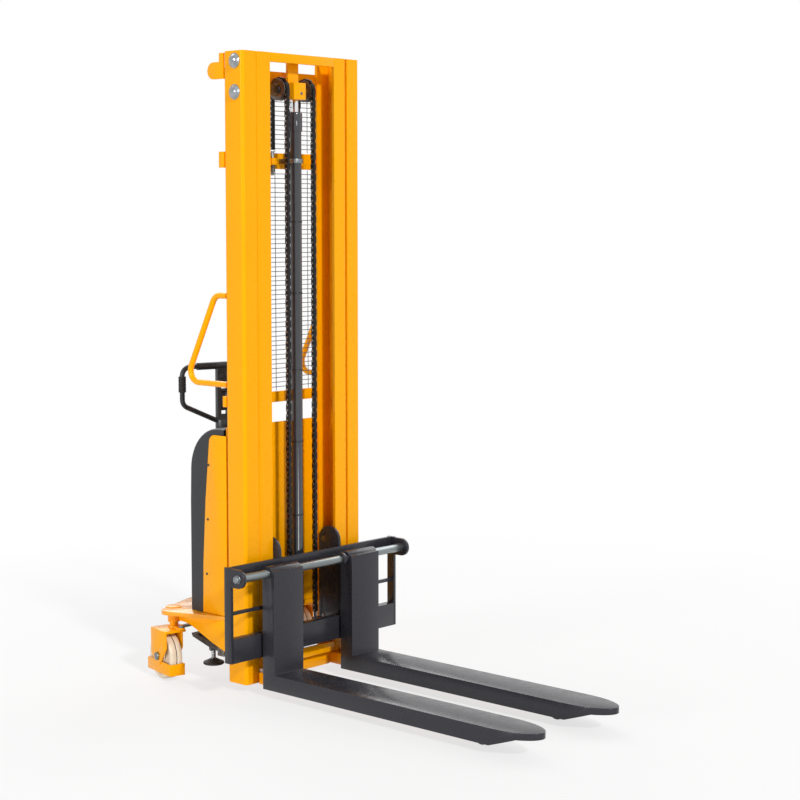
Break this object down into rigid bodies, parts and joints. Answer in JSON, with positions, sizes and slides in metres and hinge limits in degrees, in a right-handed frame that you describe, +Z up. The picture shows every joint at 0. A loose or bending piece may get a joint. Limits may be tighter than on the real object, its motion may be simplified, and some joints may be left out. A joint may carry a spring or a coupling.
{
  "type": "walkie pallet stacker",
  "caption": "Walk-behind pallet stacker: telescopic mast with chains, hung forks, hooded power unit, steered casters, sprung handle and floor lock.",
  "frame": {"origin": "floor level, midway between the fork tips and the caster guards, on the mast's centre line", "axes": "+Z up, forks point to -Y, the operator stands at +Y, +X is the operator's left-hand side when facing the mast"},
  "size_m": [0.878, 1.7773, 2.295],
  "materials": {
    "yellow_paint": "glossy",
    "slate_paint": "semi-gloss",
    "zinc": "satin",
    "chrome_rod": "polished",
    "chain_steel": "oiled",
    "cover_plastic": "fine texture",
    "nylon": "satin",
    "black_plastic": "satin",
    "rubber": "matte",
    "red_plastic": "glossy",
    "roller_steel": "satin",
    "grey_paint": "semi-gloss",
    "battery_case": "matte",
    "pump_metal": "cast",
    "polyurethane": "satin"
  },
  "bodies": {
    "mast_frame": {"outer_upright_left": "yellow_paint", "outer_upright_right": "yellow_paint", "mast_top_plate": "yellow_paint", "mast_mid_beam": "yellow_paint", "mast_low_beam": "yellow_paint", "base_beam": "yellow_paint", "leg_left": "yellow_paint", "leg_right": "yellow_paint", "base_plate": "yellow_paint", "gussets": "yellow_paint", "rear_cover": "cover_plastic", "side_panels": "yellow_paint", "front_panel": "yellow_paint", "battery": "battery_case", "pump_unit": "pump_metal", "charger": "grey_paint", "lift_cylinder": "grey_paint", "cylinder_clamp": "zinc", "cable_ties": "black_plastic", "hydraulic_hose": "rubber", "mesh_guard": "zinc", "grab_rails": "yellow_paint", "chain_anchors": "zinc", "slide_pads": "zinc", "panel_screws": "black_plastic", "lock_bracket": "zinc", "bearing_caps": "yellow_paint", "chain_rear": "chain_steel"},
    "inner_mast": {"inner_uprights": "yellow_paint", "inner_beams": "yellow_paint", "rod_bracket": "yellow_paint", "piston_rod": "chrome_rod", "chain_front": "chain_steel", "chain_wraps": "chain_steel"},
    "chain_wheels": {"chain_rollers": "roller_steel"},
    "mast_wheels": {"mast_rollers": "roller_steel"},
    "carriage": {"carriage_sides": "slate_paint", "carriage_beams": "slate_paint", "roller_brackets": "slate_paint", "fork_bar": "zinc", "bar_bolts": "zinc"},
    "lower_wheels": {"lower_rollers": "roller_steel"},
    "upper_wheels": {"upper_rollers": "roller_steel"},
    "left_fork": {"fork_left": "slate_paint"},
    "right_fork": {"fork_right": "slate_paint"},
    "left_load_wheel": {"load_roller_left": "polyurethane"},
    "right_load_wheel": {"load_roller_right": "polyurethane"},
    "left_caster": {"caster_left": "yellow_paint"},
    "right_caster": {"caster_right": "yellow_paint"},
    "left_caster_wheel": {"caster_wheel_left": "nylon"},
    "right_caster_wheel": {"caster_wheel_right": "nylon"},
    "tie_link": {"tie_bar": "zinc"},
    "handle_head": {"steer_head": "yellow_paint"},
    "handle": {"handle_arm": "grey_paint", "handle_loop": "black_plastic"},
    "lever": {"lowering_lever": "black_plastic"},
    "pedal": {"lock_pedal": "zinc"},
    "foot": {"lock_foot": "rubber"},
    "stop": {"stop_button": "red_plastic"},
    "key": {"key_switch": "zinc"}
  },
  "joints": [
    {"name": "mast_lift", "type": "slide", "parent": "mast_frame", "child": "inner_mast", "axis": [0, 0, 1], "range_m": [0, 1.6], "deforming": ["chain_rear"]},
    {"name": "carriage_lift", "type": "slide", "parent": "inner_mast", "child": "carriage", "axis": [0, 0, 1], "range_m": [0, 1.6], "deforming": ["chain_front"]},
    {"name": "chain_roller_spin", "type": "hinge", "parent": "inner_mast", "child": "chain_wheels", "pos_m": [0, 0.44842, 2.17], "axis": [-1, 0, 0], "range_deg": [0, 2352.6]},
    {"name": "mast_roller_spin", "type": "hinge", "parent": "inner_mast", "child": "mast_wheels", "pos_m": [0, 0.44642, 0.14], "axis": [1, 0, 0], "range_deg": [0, 2440.1]},
    {"name": "lower_roller_spin", "type": "hinge", "parent": "carriage", "child": "lower_wheels", "pos_m": [0, 0.44642, 0.205], "axis": [1, 0, 0], "range_deg": [0, 2440.1]},
    {"name": "upper_roller_spin", "type": "hinge", "parent": "carriage", "child": "upper_wheels", "pos_m": [0, 0.44642, 0.5], "axis": [1, 0, 0], "range_deg": [0, 2440.1]},
    {"name": "left_fork_slide", "type": "slide", "parent": "carriage", "child": "left_fork", "axis": [1, 0, 0], "range_m": [-0.009, 0.038]},
    {"name": "right_fork_slide", "type": "slide", "parent": "carriage", "child": "right_fork", "axis": [1, 0, 0], "range_m": [-0.009, 0.038]},
    {"name": "left_load_roller_spin", "type": "hinge", "parent": "mast_frame", "child": "left_load_wheel", "pos_m": [-0.2, -0.63358, 0.035], "axis": [1, 0, 0], "continuous": true},
    {"name": "right_load_roller_spin", "type": "hinge", "parent": "mast_frame", "child": "right_load_wheel", "pos_m": [0.2, -0.63358, 0.035], "axis": [1, 0, 0], "continuous": true},
    {"name": "handle_steer", "type": "hinge", "parent": "mast_frame", "child": "handle_head", "pos_m": [0, 0.83642, 0.264], "axis": [0, 0, 1], "range_deg": [-42, 68]},
    {"name": "left_caster_steer", "type": "hinge", "parent": "mast_frame", "child": "left_caster", "pos_m": [-0.3, 0.78742, 0.23], "axis": [0, 0, 1], "range_deg": [-42, 68]},
    {"name": "right_caster_steer", "type": "hinge", "parent": "mast_frame", "child": "right_caster", "pos_m": [0.3, 0.78742, 0.23], "axis": [0, 0, 1], "range_deg": [-42, 68]},
    {"name": "tie_bar_pivot", "type": "hinge", "parent": "left_caster", "child": "tie_link", "pos_m": [-0.3135, 0.72896, 0.199], "axis": [0, 0, 1], "range_deg": [-68, 42]},
    {"name": "left_caster_roll", "type": "hinge", "parent": "left_caster", "child": "left_caster_wheel", "pos_m": [-0.33313, 0.79507, 0.086], "axis": [0.9744, -0.225, 0], "continuous": true},
    {"name": "right_caster_roll", "type": "hinge", "parent": "right_caster", "child": "right_caster_wheel", "pos_m": [0.33313, 0.77977, 0.086], "axis": [0.9744, -0.225, 0], "continuous": true},
    {"name": "handle_tilt", "type": "hinge", "parent": "handle_head", "child": "handle", "pos_m": [0, 0.83642, 0.335], "axis": [-0.9744, 0.225, 0], "range_deg": [0, 80], "stiffness_Nm_per_rad": 18, "springref_deg": -14.32},
    {"name": "lever_swing", "type": "hinge", "parent": "handle", "child": "lever", "pos_m": [0, 0.83642, 1.048], "axis": [-0.9744, 0.225, 0], "range_deg": [-18, 18], "stiffness_Nm_per_rad": 0.4},
    {"name": "pedal_press", "type": "hinge", "parent": "mast_frame", "child": "pedal", "pos_m": [-0.196, 0.62242, 0.106], "axis": [-1, 0, 0], "range_deg": [0, 46], "stiffness_Nm_per_rad": 2.5, "springref_deg": -51.57},
    {"name": "foot_level", "type": "hinge", "parent": "pedal", "child": "foot", "pos_m": [-0.196, 0.68442, 0.104], "axis": [-1, 0, 0], "range_deg": [-46, 0]},
    {"name": "stop_press", "type": "slide", "parent": "mast_frame", "child": "stop", "axis": [0, 1, 0], "range_m": [-0.005, 0], "stiffness_N_per_m": 500},
    {"name": "key_turn", "type": "hinge", "parent": "mast_frame", "child": "key", "pos_m": [0.06, 0.69942, 0.64], "axis": [0, 1, 0], "range_deg": [0, 90]}
  ],
  "couplings": [
    {"joint": "carriage_lift", "follows": "mast_lift", "ratio": 1},
    {"joint": "chain_roller_spin", "follows": "mast_lift", "rad_per_m": 25.641},
    {"joint": "mast_roller_spin", "follows": "mast_lift", "rad_per_m": 26.596},
    {"joint": "lower_roller_spin", "follows": "mast_lift", "rad_per_m": 26.596},
    {"joint": "upper_roller_spin", "follows": "mast_lift", "rad_per_m": 26.596},
    {"joint": "left_caster_steer", "follows": "handle_steer", "ratio": 1},
    {"joint": "right_caster_steer", "follows": "handle_steer", "ratio": 1},
    {"joint": "tie_bar_pivot", "follows": "handle_steer", "ratio": -1},
    {"joint": "foot_level", "follows": "pedal_press", "ratio": -1}
  ]
}
